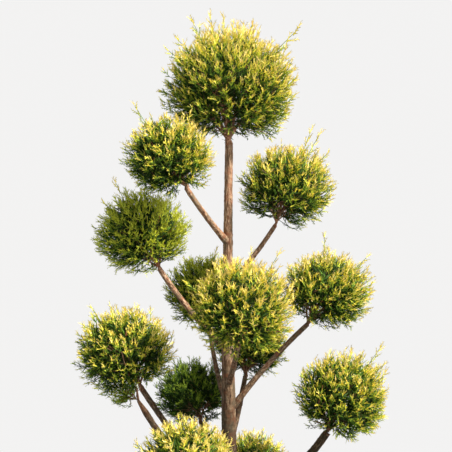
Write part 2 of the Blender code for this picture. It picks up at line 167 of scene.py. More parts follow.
SHOOT_LEAN = math.radians(36)
SHOOT_LENGTH = 0.36  # in branchlet lengths
SHOOT_WIDTH = 0.095  # half its foot, in branchlet lengths
SHADE_SPRAYS_PER_AREA = 28000
SHADE_REACH = (0.50, 0.80)
SHADE_CLEAR_ANGLE = math.radians(52)
SHADE_BRANCHLETS = 5
SHADE_LENGTH = (0.035, 0.055)
SHADE_RADIUS = 0.0030
LIMBLETS = 15  # in a ball of radius 0.12, with those that would lie along its stem
GREEN_TWIGLETS = 0.75  # share of the thinnest twigs that are still green
LIMBLET_CLEAR_ANGLE = math.radians(46)
TURN_COST = 2.5  # how much a twiglet avoids a sharp turn into its spray
STEM_REACH = 0.72  # how far the stem goes on into its ball, in radii
STEM_THINS = np.array((0.88, 1.02, 0.88, 0.66, 0.55, 0.50, 0.45, 0.40, 0.35, 0.30))  # as limblets leave it
STEM_SIDES = 14
LIMBLET_RISE = 0.32  # how far up the stem the highest limblet leaves it, in stem lengths
LIMBLET_REACH = (0.60, 0.74)  # in ball radii
LIMBLET_KNEE = 0.36
LIMBLET_THICKNESS = (0.34, 0.56)  # in stem radii
LIMBLET_POINTS = 8
LIMBLET_SIDES = 7
SIDE_TWIG_REACH = (0.20, 0.34)  # in ball radii
SIDE_TWIG_LIMIT = 0.84
SIDE_TWIG_THICKNESS = 0.34  # in limblet thicknesses
TWIGLET_RADIUS = 0.0010
RARE_WAY = np.array((0.31, 0.17, 0.93))  # a direction that hardly any twig takes

# The thinnest twigs. The last is still green.
TWIG_COLOURS = (
    ("twig_brown", (0.17, 0.080, 0.042)),
    ("twig_red", (0.27, 0.095, 0.042)),
    ("twig_tan", (0.26, 0.145, 0.080)),
    ("twig_green", (0.035, 0.050, 0.014)),
)
GREEN_TWIG = len(TWIG_COLOURS) - 1

CHIP_COLOURS = (
    ("chip_bark", (0.105, 0.055, 0.030)),
    ("chip_dark", (0.028, 0.018, 0.012)),
    ("chip_brown", (0.060, 0.036, 0.022)),
    ("chip_pale", (0.19, 0.14, 0.095)),
)

# Foliage tints, from the lit tips inwards, and the score above which a branchlet takes each. The deep tint is
# partly painted shade, and the last, darkest one is painted shade.
TINTS = (
    ("foliage_gold_light", (0.81, 0.645, 0.175), 0.66),
    ("foliage_gold", (0.75, 0.61, 0.070), 0.36),
    ("foliage_lime", (0.51, 0.53, 0.050), 0.10),
    ("foliage_green", (0.21, 0.295, 0.028), -0.20),
    ("foliage_deep", (0.080, 0.150, 0.018), -0.52),
    ("foliage_painted_shade", (0.022, 0.048, 0.009), -9.0),
)

# How much more golden growth is towards the sunny side (partly real sun-ripened gold, partly painted light),
# for each radius outwards (the darker inside partly painted shade), and along its spray
SUN_TINT = 0.60
SKIN_TINT = 1.6
TIP_TINT = 1.35

# How light spreads in the leaves
LEAF_GLOW = {"Weight": 0.75, "Radius": (1.0, 0.9, 0.4), "Scale": 0.0045}

# How a spray branches: its branchlets, their angle, their length in spray lengths and its axis' radius.
# tint is how much more golden it is, and stray how far that strays.
SprayForm = namedtuple("SprayForm", "branchlets angle_deg branchlet_length axis_radius tint stray")
BALL_SPRAY = SprayForm(5, 38, 0.50, 0.0009, 0, 0.16)
LEADER_SPRAY = SprayForm(9, 27, 0.27, 0.0012, -0.30, 0.05)
TUFT_SPRAY = SprayForm(8, 32, 0.36, 0.0010, 0, 0.12)
TWIG_SPRAY = SprayForm(5, 40, 0.46, 0.0008, -0.12, 0.14)
LEADER_DEPTH = (-0.26, -0.08)  # how far leaders lean to the front
LEADER_ROOT = 0.62  # in ball radii
LEADER_TIP = 0.02  # how far past its tip a leader's last branchlet reaches, in ball radii
LEADER_RISE = 0.15

# fork is the height where its bough leaves the trunk, entry_deg how far inwards of its foot the bough
# enters it, limb the bough's radius and bow its arch in bough lengths. leaders are the degrees right of
# upright and the reach, in ball radii, of unclipped shoots. gold makes a ball more or less golden, and
# ripest is the first of TINTS that it may take.
# Lower gold on the balls at the back is partly painted shade, and partly the greener growth of shaded
# foliage.
Ball = namedtuple("Ball", "name centre radius fork entry_deg limb bow leaders gold ripest", defaults=(0,))

BALLS = (
    Ball("top", (0.004, 0, 1.702), 0.172, None, 0, TRUNK_TIP_RADIUS, 0,
        ((-58, 1.22), (-46, 1.20), (-28, 1.30), (-15, 1.29), (-5, 1.22), (18, 1.17), (48, 1.49), (73, 1.12)),
        0.15),
    Ball("upper_left", (-0.148, -0.160, 1.504), 0.111, 1.285, 36, 0.0080, -0.02,
        ((-31, 1.54), (-22, 1.12), (25, 1.22)), 0.03),
    Ball("upper_right", (0.157, 0.030, 1.436), 0.125, 1.167, 16, 0.0070, -0.02,
        ((21, 1.52), (29, 1.52), (47, 1.28)), 0.06),
    Ball("middle_left", (-0.231, 0, 1.314), 0.123, 0.999, 24, 0.0082, -0.03,
        ((-24, 1.46), (-48, 1.16)), 0.32, 2),
    Ball("rear_left", (-0.064, 0.220, 1.137), 0.120, 0.842, 17, 0.0070, -0.08,
        ((12, 1.28), (-30, 1.14)), 0.10, 2),
    Ball("front_centre", (0.032, -0.220, 1.137), 0.126, 0.909, 27, 0.0074, -0.03,
        ((8, 1.32), (31, 1.42), (39, 1.18), (-63, 1.27)), 0.21),
    Ball("rear_right", (0.062, 0.200, 0.985), 0.108, 0.744, 27, 0.0082, -0.04, ((24, 1.15),), -0.1),
    Ball("middle_right", (0.264, 0.020, 1.157), 0.117, 0.833, 28, 0.0078, 0.025,
        ((-3, 1.48), (45, 1.40), (57, 1.18)), 0.07),
    Ball("low_left", (-0.267, -0.080, 1.011), 0.123, 0.599, 22, 0.0088, -0.02,
        ((-33, 1.28), (-15, 1.18)), -0.05),
    Ball("low_rear_left", (-0.103, 0.200, 0.847), 0.106, 0.650, 34, 0.0080, -0.04, ((10, 1.20),), -0.46, 3),
    Ball("low_right", (0.298, -0.050, 0.890), 0.122, 0.501, 21, 0.0122, -0.03,
        ((33, 1.50), (8, 1.18), (48, 1.24), (-75, 1.14)), 0),
    Ball("low_front_left", (-0.102, -0.240, 0.764), 0.120, 0.518, 30, 0.0085, -0.04,
        ((-70, 1.07), (7, 1.06)), 0.15),
    Ball("low_rear_right", (0.075, 0.200, 0.643), 0.097, 0.475, 30, 0.0080, -0.04, ((13, 1.27),), -0.1),
    Ball("base_front_right", (0.180, -0.170, 0.622), 0.118, 0.448, 34, 0.0090, -0.04, ((38, 1.12),), 0),
    Ball("base_left", (-0.268, 0.030, 0.583), 0.118, 0.428, 36, 0.0092, -0.04, ((-40, 1.10),), 0),
    Ball("base_right", (0.296, 0.115, 0.553), 0.112, 0.410, 38, 0.0092, -0.04, ((45, 1.12),), 0),
    Ball("base_rear_left", (-0.115, 0.262, 0.552), 0.106, 0.400, 32, 0.0085, -0.04, ((-20, 1.14),), 0),
)
TUFT = Ball("low_left_tuft", (-0.272, 0.030, 0.868), 0.062, 0.553, 50, 0.0100, -0.03, (), -0.45)
TUFT_SPRAYS = 46
TUFT_SPREAD = math.radians(50)
TUFT_FLATNESS = 0.5
TUFT_REACH = (0.95, 2.0)
TUFT_SPRAY_LENGTH = 0.042
TUFT_STEM_RADII = (0.004, 0.003, 0.002)
TUFT_TWIGLET_RADIUS = 0.0011
TUFT_TINT = 0.25


# ---- shared mesh tools


def unit(vectors):
    return vectors / np.maximum(np.linalg.norm(vectors, axis=-1, keepdims=True), 1e-12)


def full_turn(sides):
    return 2 * math.pi * np.arange(sides) / sides


def round_ring(turns, first, second):
    """Directions at turns from first by way of second, for each ring."""
    return np.cos(turns)[None, :, None] * first[:, None] + np.sin(turns)[None, :, None] * second[:, None]


def leaning(way, side, angle):
    """way turned towards side by an angle."""
    return np.cos(angle)[:, None] * way + np.sin(angle)[:, None] * side


def add_piece(name, verts, faces, materials, slots=None, smooth=True):
    """A mesh piece on the root body. slots gives each face its material's number."""
    mesh = bpy.data.meshes.new(name)
    mesh.from_pydata(verts, [], faces)
    for each in materials:
        mesh.materials.append(each)
    if slots is not None:
        mesh.polygons.foreach_set("material_index", np.asarray(slots, np.int32))
    if smooth:
        mesh.shade_smooth()
    mesh.update()
    piece = bpy.data.objects.new(name, mesh)
    bpy.context.scene.collection.objects.link(piece)
    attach(piece, "root")
    return piece


def ring_quads(rings, sides):
    """Quads between rings of points, one ring after another."""
    ring = np.arange(sides)
    ahead = (ring + 1) % sides
    low = (np.arange(rings - 1) * sides)[:, None]
    quads = np.stack([low + ring, low + ahead, low + sides + ahead, low + sides + ring], axis=-1)
    return quads.reshape(-1, 4).tolist()


class Growth:
    """Gathers many small shapes, with a material number for each face, into one mesh."""

    def __init__(self):
        self.verts, self.faces, self.slots, self.count = [], [], [], 0

    def add(self, verts, faces, slots):
        """verts is (shapes, points, 3), faces one shape's triangles, slots one number a shape or a face."""
        shapes, points = verts.shape[:2]
        starts = self.count + points * np.arange(shapes)
        self.verts.append(verts.reshape(-1, 3))
        self.faces.append((starts[:, None, None] + np.asarray(faces)[None]).reshape(-1, 3))
        self.slots.append(np.repeat(slots, len(faces)) if slots.ndim == 1 else slots.reshape(-1))
        self.count += shapes * points

    def piece(self, name, materials, slot, smooth=True):
        verts, faces, slots = (np.concatenate(each) for each in (self.verts, self.faces, self.slots))
        return add_piece(name, verts, faces, materials, slots, smooth)


CONE_FACES = ((0, 1, 3), (1, 2, 3), (2, 0, 3))
ROD_FACES = ((0, 1, 4), (0, 4, 3), (1, 2, 5), (1, 5, 4), (2, 0, 3), (2, 3, 5))
CHIP_FACES = ((0, 2, 4), (2, 1, 4), (1, 3, 4), (3, 0, 4), (2, 0, 5), (1, 2, 5), (3, 1, 5), (0, 3, 5))
FEATHER_FACES = ((0, 1, 3), (1, 2, 3), *((k, k + 1, k + 2) for k in range(4, 4 + 3 * SCALE_SHOOTS, 3)))

# How much riper than its branchlet each face of a feather is: the keel less, the outer shoots more
FEATHER_TINTS = np.array((-0.12, -0.12, *np.linspace(-0.26, 0.26, SCALE_SHOOTS)))


def rings_of_three(centres, along, normals, radii):
    """Three points round each centre, across along, the first on the normal's side."""
    across = unit(np.cross(along, normals))
    over = unit(np.cross(across, along))
    return centres[:, None] + radii[:, None, None] * round_ring(full_turn(3), over, across)


def feathers(base, tip, normals, radii, rng):
    """A keeled branchlet from base to tip with short flat shoots to its left and right in turn."""
    count = len(base)
    axis = tip - base
    length = np.linalg.norm(axis, axis=1)
    along = axis / length[:, None]
    across = unit(np.cross(along, normals))
    over = np.cross(across, along)
    half = radii[:, None] * across
    points = [base - half, base + 0.7 * radii[:, None] * over, base + half, tip]
    for k in range(SCALE_SHOOTS):
        share = (k + 0.6 + rng.uniform(-0.25, 0.25, count)) / (SCALE_SHOOTS + 0.6)
        hand = 1 if k % 2 else -1
        lean = hand * rng.normal(SHOOT_LEAN, 0.12, count)
        lift = rng.normal(0, 0.25, count)
        way = unit(leaning(along, across, lean) + lift[:, None] * over)
        foot = base + share[:, None] * axis
        reach = (length * SHOOT_LENGTH * (1 - 0.45 * share) * rng.uniform(0.75, 1.25, count))[:, None]
        width = (SHOOT_WIDTH * length)[:, None]
        points += [foot - width * along, foot + width * along, foot + reach * way]
    return np.stack(points, axis=1)


def cones(base, tip, normals, radii):
    ring = rings_of_three(base, unit(tip - base), normals, radii)
    return np.concatenate([ring, tip[:, None]], axis=1)


def rods(base, tip, normals, radii, taper):
    along = unit(tip - base)
    low = rings_of_three(base, along, normals, radii)
    high = rings_of_three(tip, along, normals, radii * taper)
    return np.concatenate([low, high], axis=1)


# ---- limbs


def up_trunk(height):
    """The height's share of the trunk, from the soil to its tip."""
    return (height - SOIL_LEVEL) / (TRUNK_TIP_HEIGHT - SOIL_LEVEL)


def trunk_centre(height):
    share = up_trunk(height)
    x = TRUNK_SWAY * math.sin(2.2 * math.pi * share)
    y = TRUNK_SWAY * (math.cos(1.7 * math.pi * share) - 1)
    return Vector((x, y, height))


def trunk_radius(height):
    flare = ROOT_FLARE * math.exp((SOIL_LEVEL - height) / ROOT_FLARE_HEIGHT)
    swell = (TRUNK_FOOT_RADIUS - TRUNK_TIP_RADIUS) * max(1 - up_trunk(height), 0) ** TRUNK_TAPER
    return TRUNK_TIP_RADIUS + swell + flare


def bough_tip(ball):
    centre = Vector(ball.centre)
    inward = -Vector((centre.x, centre.y, 0))
    inward = inward.normalized() if ball.fork is not None else Vector()
    angle = math.radians(ball.entry_deg)
    reach = ENTRY_DEPTH * ball.radius
    return centre + reach * (math.sin(angle) * inward - math.cos(angle) * BALL_FLATNESS * UP)


def bough_point(ball, t):
    start, end = trunk_centre(ball.fork), bough_tip(ball)
    chord = end - start
    outward = Vector((chord.x, chord.y, 0)).normalized()
    bow_way = (UP * chord.dot(outward) - outward * chord.dot(UP)).normalized()
    middle = (start + end) / 2 + 2 * ball.bow * chord.length * bow_way
    return (1 - t) ** 2 * start + 2 * t * (1 - t) * middle + t * t * end


def bough_radius(ball, t):
    start = bough_point(ball, 0)
    collar = COLLAR_SWELL * math.exp(-((bough_point(ball, t) - start).length - ball.limb) / COLLAR_REACH)
    return ball.limb * (1 + (BOUGH_TAPER - 1) * t + min(collar, COLLAR_SWELL))


def limb_end(ball):
    """A point inside the limb a little before its tip, and the tip."""
    if ball.fork is None:
        return np.array(trunk_centre(TRUNK_TIP_HEIGHT - STEM_LAP)), np.array(trunk_centre(TRUNK_TIP_HEIGHT))
    length = (bough_tip(ball) - trunk_centre(ball.fork)).length
    return np.array(bough_point(ball, 1 - STEM_LAP / length)), np.array(bough_tip(ball))


def bark_height(point):
    """The bark's relief, from -1 to 1, at a point of the limb laid straight, in limb radii."""
    lumps = noise.noise(Vector((0.9 * point.x, 0.9 * point.y, 0.8 * point.z)))
    wrinkles = noise.noise(Vector((0.8 * point.x, 0.8 * point.y, 5 * point.z)) + Vector((7, 3, 1)))
    ridges = 1 - 2 * abs(noise.noise(point * 1.8))
    grain = noise.noise(point * 5 + Vector((2, 9, 4)))
    return 0.55 * lumps + 0.30 * wrinkles + 0.20 * ridges + 0.25 * grain


def even_rings(points, radii):
    """Distances, centres, radii and directions of the rings of a limb through points."""
    steps = np.concatenate([[0], np.cumsum(np.linalg.norm(np.diff(points, axis=0), axis=1))])
    at = np.linspace(0, steps[-1], max(6, round(steps[-1] / BARK_RING_STEP)))
    centres = np.stack([np.interp(at, steps, points[:, i]) for i in range(3)], axis=1)
    return at, centres, np.interp(at, steps, radii), unit(np.gradient(centres, axis=0))


def ring_ways(along, turns):
    """Directions round each ring, carried along the limb without a twist."""
    across = np.zeros_like(along)
    across[0] = np.array(Vector(along[0]).orthogonal().normalized())
    for i in range(1, len(along)):
        across[i] = across[i - 1] - (across[i - 1] @ along[i]) * along[i]
        across[i] /= np.linalg.norm(across[i])
    return round_ring(turns, across, np.cross(along, across))


def add_knots(swell, at, turns, limb_radius, rng):
    """Raises knots with a pit in the middle out of the bark."""
    for _ in range(round(KNOTS_PER_METRE * at[-1])):
        place = rng.uniform(0.02, at[-1])
        turn = rng.uniform(0, 2 * math.pi)
        size = rng.uniform(0.5, 1.2) * (KNOT_SIZE * math.sqrt(limb_radius / 0.015))
        turned = np.abs((turns - turn + math.pi) % (2 * math.pi) - math.pi) * limb_radius
        away = ((at - place)[:, None] / (1.3 * size)) ** 2 + (turned[None] / size) ** 2
        swell += KNOT_LIFT * size * np.exp(-away) - KNOT_PIT * size * np.exp(-4 * away)


def bark_limb(name, points, radii, sides, seed, replaced):
    """A limb with furrowed bark and knots. Its bark coordinates run round and along it, with no seam."""
    rng = np.random.default_rng(seed)
    at, centres, sizes, along = even_rings(np.array(points, float), np.array(radii, float))
    turns = full_turn(sides)
    limb_radius = float(np.median(sizes))
    to_end = np.clip((at[-1] - at) / BARK_END, 0, 1)
    sizes *= BARK_END_SIZE + (1 - BARK_END_SIZE) * np.sqrt(to_end)
    straight = np.empty((len(at), sides, 3))
    straight[..., 0] = np.cos(turns)[None]
    straight[..., 1] = np.sin(turns)[None]
    straight[..., 2] = (2 * at / (limb_radius * BARK_STRETCH))[:, None]
    straight += rng.uniform(0, 50, 3)
    lift = np.array([bark_height(Vector(p)) for p in straight.reshape(-1, 3)]).reshape(len(at), sides)
    swell = BARK_RELIEF * sizes[:, None] * lift
    add_knots(swell, at, turns, limb_radius, rng)
    swell *= to_end[:, None]
    verts = centres[:, None] + (sizes[:, None] + swell)[..., None] * ring_ways(along, turns)
    ring = np.arange(sides)
    ends = [ring[::-1].tolist(), ((len(at) - 1) * sides + ring).tolist()]
    piece = add_piece(name, verts.reshape(-1, 3), [*ring_quads(len(at), sides), *ends], [BARK])
    grain = piece.data.attributes.new("bark_grain", "FLOAT_VECTOR", "POINT")
    straight[..., :2] *= limb_radius / BARK_GRAIN_RADIUS
    grain.data.foreach_set("vector", straight.astype(np.float32).ravel())
    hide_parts(replaced)


def make_trunk():
    heights = np.linspace(SOIL_LEVEL + LIMB_LIFT, TRUNK_TIP_HEIGHT, 160).tolist()
    points = [trunk_centre(z) for z in heights]
    radii = [trunk_radius(z) for z in heights]
    bark_limb("trunk_bark", points, radii, TRUNK_SIDES, 11, "trunk")


def make_bough(ball, seed):
    """The bough from inside the trunk to its ball."""
    shares = np.linspace(0, 1, 60).tolist()
    points = [bough_point(ball, t) for t in shares]
    radii = [bough_radius(ball, t) for t in shares]
    bark_limb(f"bough_bark_{ball.name}", points, radii, BOUGH_SIDES, seed, f"bough_{ball.name}")


# ---- foliage


def tint_numbers(scores, ripest):
    """The first tint whose bar a score passes."""
    bars = np.array([bar for _, _, bar in TINTS])
    return np.maximum(np.argmax(scores[..., None] >= bars, axis=-1), ripest)


def branchlet_places(form, i, count, rng):
    """Where along their sprays the branchlets numbered i start. The last goes on from the spray's end."""
    if i == form.branchlets:
        return np.full(count, 1 - 0.6 * form.branchlet_length)
    return (i + 0.5 + rng.uniform(-0.3, 0.3, count)) / (form.branchlets + 0.8)


def add_sprays(growth, root, tip, normals, score, rng, form, ripest=0):
    """Bushy sprays from root to tip: an arched axis with feathered branchlets in a spiral round it.

    score(points, share) gives the tint score of a branchlet there, at that share of its spray.
    """
    count = len(root)
    axis = tip - root
    length = np.linalg.norm(axis, axis=1)
    along = unit(axis)
    side = unit(np.cross(along, normals))
    normals = unit(np.cross(side, along))
    down = np.array([0, 0, -1.0])
    low = down - (along @ down)[:, None] * along
    arch = SPRAY_ARCH * length[:, None] * low
    spray_tint = rng.normal(0, form.stray, count)
    first_turn = rng.uniform(0, 2 * math.pi, count)

    def on_axis(t):
        return root + t[:, None] * axis + (t * (1 - t) * 4)[:, None] * arch

    radius = rng.uniform(*BRANCHLET_RADIUS, count)
    growth.add(
        rods(root, on_axis(np.full(count, 0.85)), normals, np.full(count, form.axis_radius), 0.6),
        ROD_FACES,
        tint_numbers(score(root + 0.5 * axis, 0.3) + form.tint + spray_tint - 0.15, ripest),
    )
    for i in range(form.branchlets + 1):
        last = i == form.branchlets
        t = branchlet_places(form, i, count, rng)
        turn = (first_turn + i * GOLDEN_TURN)[:, None]
        out = unit(np.cos(turn) * side + SPRAY_DEPTH * np.sin(turn) * normals)
        lean, lean_stray = (0, 0.06) if last else (math.radians(form.angle_deg), 0.14)
        angle = rng.normal(lean, lean_stray, count)
        sag = (2 * SPRAY_ARCH * (2 * t - 1))[:, None] * low
        way = unit(leaning(along, out, angle) - sag)
        reach = length * form.branchlet_length * (1 - 0.35 * t) * rng.uniform(0.8, 1.2, count)
        base = on_axis(t)
        end = base + reach[:, None] * way
        share = 1 if last else 0.3 + 0.7 * t[0]
        tint_score = score(end, share) + form.tint + spray_tint + rng.normal(0, 0.06, count)
        slots = tint_numbers(tint_score[:, None] + FEATHER_TINTS, ripest)
        facing = unit(normals + rng.normal(0, 0.6, normals.shape))
        growth.add(feathers(base, end, facing, radius, rng), FEATHER_FACES, slots)


def add_leafy_twigs(growth, starts, roots, normals, score, rng, ripest=0):
    """Leaves along the outer part of twiglets, short ones left out."""
    bare_ends = starts + LEAFY_TWIG_START * (roots - starts)
    long_ones = np.linalg.norm(roots - bare_ends, axis=1) > LEAFY_TWIG_LEAST
    parts = (each[long_ones] for each in (bare_ends, roots, normals))
    add_sprays(growth, *parts, score, rng, TWIG_SPRAY, ripest)


def add_shade(growth, ball, stem_way, rng):
    """Broad sprays that fill the ball's inside and block the light there; their dark tints are painted shade.
    """
    centre, scale = ball_frame(ball)
    count = round(SHADE_SPRAYS_PER_AREA * ball.radius**2)
    ways = unit(even_directions(count) + rng.normal(0, 0.10, (count, 3)))
    ways = ways[angles_from(stem_way, ways) > SHADE_CLEAR_ANGLE]
    count = len(ways)
    tips = centre + scale * ways * rng.uniform(*SHADE_REACH, (count, 1))
    grow = unit(ways - FORK_DEPTH * stem_way + rng.normal(0, 0.35, (count, 3)))
    side = unit(np.cross(grow, rng.normal(0, 1, (count, 3))))
    length = rng.uniform(*SHADE_LENGTH, count)
    roots = tips - length[:, None] * grow
    for i in range(SHADE_BRANCHLETS):
        t = (i + rng.uniform(0.2, 0.9, count)) / SHADE_BRANCHLETS
        lean = (1 if i % 2 else -1) * rng.uniform(0.3, 0.9, count)
        base = roots + (t * length)[:, None] * grow
        end = base + (0.5 * length)[:, None] * leaning(grow, side, lean)
        # Painted shade: most take the darkest tint, a quarter the deep one
        dark = len(TINTS) - 1 - (rng.random(count) < 0.25)
        growth.add(cones(base, end, side, np.full(count, SHADE_RADIUS)), CONE_FACES, dark)


def even_directions(count):
    """Directions spread evenly over a sphere, along a golden spiral."""
    z = 1 - (2 * np.arange(count) + 1) / count
    turn = np.arange(count) * GOLDEN_TURN
    flat = np.sqrt(1 - z * z)
    return np.stack([flat * np.cos(turn), flat * np.sin(turn), z], axis=1)


def plume_ways(count, rng):
    """Even directions drawn together into plumes, and how far each one's plume strays."""
    ways = unit(even_directions(count) + rng.normal(0, 0.05, (count, 3)))
    middles = unit(even_directions(count // PLUME_SPRAYS) + rng.normal(0, 0.05, (count // PLUME_SPRAYS, 3)))
    plume = np.argmax(ways @ middles.T, axis=1)
    strays = rng.normal(0, PLUME_STRAY, middles.shape)
    return unit(ways + PLUME_PULL * (middles[plume] - ways)), strays[plume]


def angles_from(way, ways):
    return np.arccos(np.clip(ways @ way, -1, 1))


def add_twig(growth, points, radii, slot, sides=5):
    """One twig along points, as a faceted tube."""
    points = np.asarray(points, float)
    along = unit(np.gradient(points, axis=0))
    across = unit(np.cross(along, RARE_WAY))
    out = round_ring(full_turn(sides), across, np.cross(along, across))
    verts = points[:, None] + np.asarray(radii)[:, None, None] * out
    quads = ring_quads(len(points), sides)
    faces = [half for a, b, c, d in quads for half in ((a, b, c), (a, c, d))]
    growth.add(verts.reshape(1, -1, 3), faces, np.array([slot]))


def ball_frame(ball):
    """Its centre and its half sizes."""
    return np.array(ball.centre), ball.radius * np.array([1, 1, BALL_FLATNESS])


def depth_in(ball, points):
    """How far points are from the ball's centre, 1 being its skin."""
    centre, scale = ball_frame(ball)
    return np.linalg.norm((points - centre) / scale, axis=-1)


def ball_score(ball):
    """Tints lighten towards the ball's skin, its sunny side and the tip of each spray. Towards the sunny side
    this is partly painted light, and the darker inside is partly painted shade.
    """
    centre, scale = ball_frame(ball)
    sun = np.array(GOLD_AND_PAINTED_LIGHT_FROM)

    def score(points, share):
        out = (points - centre) / scale
        depth = np.linalg.norm(out, axis=1)
        # Partly painted light: more golden on the sun's side
        lit = np.maximum((out / np.maximum(depth, 1e-6)[:, None]) @ sun, -0.45)
        # Partly painted shade: darker further inside
        skin = SKIN_TINT * (np.minimum(depth, 1.02) - 0.93)
        return SUN_TINT * lit + skin + TIP_TINT * (share - 0.66) + ball.gold

    return score


def clear_of_limbs(points, segments):
    """True for points that keep clear of the limbs' segments."""
    keep = np.ones(len(points), bool)
    for low, high, radius in segments:
        along = high - low
        share = np.clip(((points - low) @ along) / (along @ along), 0, 1)
        keep &= np.linalg.norm(points - low - share[:, None] * along, axis=1) > radius + LIMB_ROOM
    return keep


def limb_segments(ball):
    """Segments and radii of the trunk, of other balls' boughs and of the outer part of the ball's own."""
    low, high = (np.array(trunk_centre(z)) for z in (SOIL_LEVEL, TRUNK_TIP_HEIGHT - 0.05))
    found = [(low, high, TRUNK_FOOT_RADIUS)]
    for other in (*BALLS[1:], TUFT):
        shares = np.linspace(0, OWN_BOUGH_SHARE if other is ball else 1, 9).tolist()
        points = [np.array(bough_point(other, t)) for t in shares]
        found += [(a, b, other.limb) for a, b in zip(points, points[1:])]
    return found


def in_other_space(ball, points):
    inside = np.zeros(len(points), bool)
    for other in BALLS:
        if other is not ball:
            inside |= depth_in(other, points) < 1
    return inside


def in_reach(points):
    """True for spray tips inside the box of the solids, give or take a leaf."""
    low, high = (np.array(corner) for corner in cad_bounds)
    return np.all((points > low - REACH_OUT) & (points < high + REACH_OUT), axis=1)


def place_sprays(ball, stem_way, rng):
    """Roots, tips and normals of a ball's sprays, and each one's angle from the stem."""
    centre, scale = ball_frame(ball)
    ways, strays = plume_ways(round(SPRAYS_PER_AREA * ball.radius**2), rng)
    chosen = rng.permutation(np.flatnonzero(angles_from(stem_way, ways) > STEM_CLEAR_ANGLE))
    ways, strays = ways[chosen], strays[chosen]
    count = len(ways)
    shares, low, high = np.array(SHELLS).T
    shell = np.minimum(np.searchsorted(np.cumsum(shares), np.arange(count) / count), len(SHELLS) - 1)
    tips = centre + scale * ways * rng.uniform(low[shell], high[shell])[:, None]
    lean = LIGHT_LEAN * np.clip(0.5 + 0.9 * ways[:, 2:], 0, 1) * np.array(UP)
    grow = unit(ways - FORK_DEPTH * stem_way + lean + strays + rng.normal(0, SPRAY_STRAY, (count, 3)))
    from_stem = angles_from(stem_way, ways)
    underside = np.clip(1 - from_stem / UNDERSIDE_ANGLE, 0, 1)
    length = rng.uniform(*SPRAY_LENGTH, count) * (1 + UNDERSIDE_GROWTH * underside)
    roots = tips - length[:, None] * grow
    keep = clear_of_limbs(tips, limb_segments(ball)) & ~in_other_space(ball, tips) & in_reach(tips)
    clearing = (from_stem - STEM_CLEAR_ANGLE) / (UNDERSIDE_ANGLE - STEM_CLEAR_ANGLE)
    keep &= rng.random(count) < clearing**CLEARING_EDGE
    normals = unit(np.cross(grow[keep], rng.normal(0, 1, (keep.sum(), 3))))
    return roots[keep], tips[keep], normals, from_stem[keep]


def make_ball(ball, order, limblets, twigs):
    rng = np.random.default_rng(200 + order)
    score = ball_score(ball)
    stem_way = unit(np.array(bough_tip(ball)) - np.array(ball.centre))
    before_fork, fork = limb_end(ball)
    stem_radius = TRUNK_TIP_RADIUS if ball.fork is None else bough_radius(ball, 1)
    roots, tips, normals, from_stem = place_sprays(ball, stem_way, rng)
    growth = Growth()
    add_sprays(growth, roots, tips, normals, score, rng, BALL_SPRAY, ball.ripest)
    joints = add_limblets(limblets, twigs, ball, before_fork, fork, stem_way, stem_radius, rng)
    starts = join_sprays(twigs, fork, joints, roots, unit(tips - roots), rng)
    leafy = (from_stem < LEAFY_TWIG_ANGLE) & (depth_in(ball, (starts + roots) / 2) > LEAFY_TWIG_DEPTH)
    add_leafy_twigs(growth, starts[leafy], roots[leafy], normals[leafy], score, rng, ball.ripest)
    add_shade(growth, ball, stem_way, rng)
    add_leaders(growth, ball, rng)
    piece = growth.piece(f"foliage_{ball.name}", FOLIAGE, "foliage")
    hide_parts(f"pompom_{ball.name}")


def add_leaders(growth, ball, rng):
    """The long unclipped shoots."""
    centre, scale = ball_frame(ball)
    roots, tips = [], []
    for degrees, reach in ball.leaders:
        angle = math.radians(degrees)
        way = unit(np.array([math.sin(angle), rng.uniform(*LEADER_DEPTH), math.cos(angle)]))
        tips.append(centre + scale * way * (reach - LEADER_TIP))
        roots.append(centre + scale * unit(way - LEADER_RISE * np.array(UP)) * LEADER_ROOT)
    if not roots:
        return
    roots, tips = np.array(roots), np.array(tips)
    normals = unit(np.array([[0, -1, 0]]) + rng.normal(0, 0.3, (len(tips), 3)))
    add_sprays(growth, roots, tips, normals, ball_score(ball), rng, LEADER_SPRAY)


def curve_points(start, knee, end, count):
    t = np.linspace(0, 1, count)[:, None]
    return (1 - t) ** 2 * start + 2 * t * (1 - t) * knee + t**2 * end


def add_limblets(limblets, twigs, ball, before_fork, fork, stem_way, stem_radius, rng):
    """The stem goes on into the ball, limblets leave it one above another, and side twigs leave them.

    Returns the points where sprays can join.
    """
    centre, scale = ball_frame(ball)
    stem_length = STEM_REACH * ball.radius
    stem = fork - (np.linspace(0, 1, len(STEM_THINS) - 1) ** 1.5 * stem_length)[:, None] * stem_way
    stem[1:] += np.cumsum(rng.normal(0, 0.0012, stem[1:].shape), axis=0)
    add_twig(limblets, [before_fork, *stem], stem_radius * STEM_THINS, 0, STEM_SIDES)
    ways = even_directions(round(LIMBLETS * ball.radius / 0.12))
    ways = ways[ways @ stem_way < math.cos(LIMBLET_CLEAR_ANGLE)]
    ways = unit(ways + rng.normal(0, 0.15, ways.shape))
    joints = [stem[3:]]
    for way in ways:
        height = max(LIMBLET_RISE * (1 - way @ stem_way) / 2 + rng.uniform(-0.06, 0.06), 0)
        start = fork - height * stem_length * stem_way
        end = centre + scale * way * rng.uniform(*LIMBLET_REACH)
        knee = start + LIMBLET_KNEE * ball.radius * unit(0.55 * way - stem_way)
        path = curve_points(start, knee, end, LIMBLET_POINTS)
        path[1:-1] += rng.normal(0, 0.0014, path[1:-1].shape)
        thick = stem_radius * rng.uniform(*LIMBLET_THICKNESS)
        add_twig(limblets, path, thick * np.linspace(1, 0.28, LIMBLET_POINTS), 0, LIMBLET_SIDES)
        joints.append(path[2:])
        joints += add_side_twigs(twigs, ball, path, SIDE_TWIG_THICKNESS * thick, rng)
    return np.concatenate(joints)


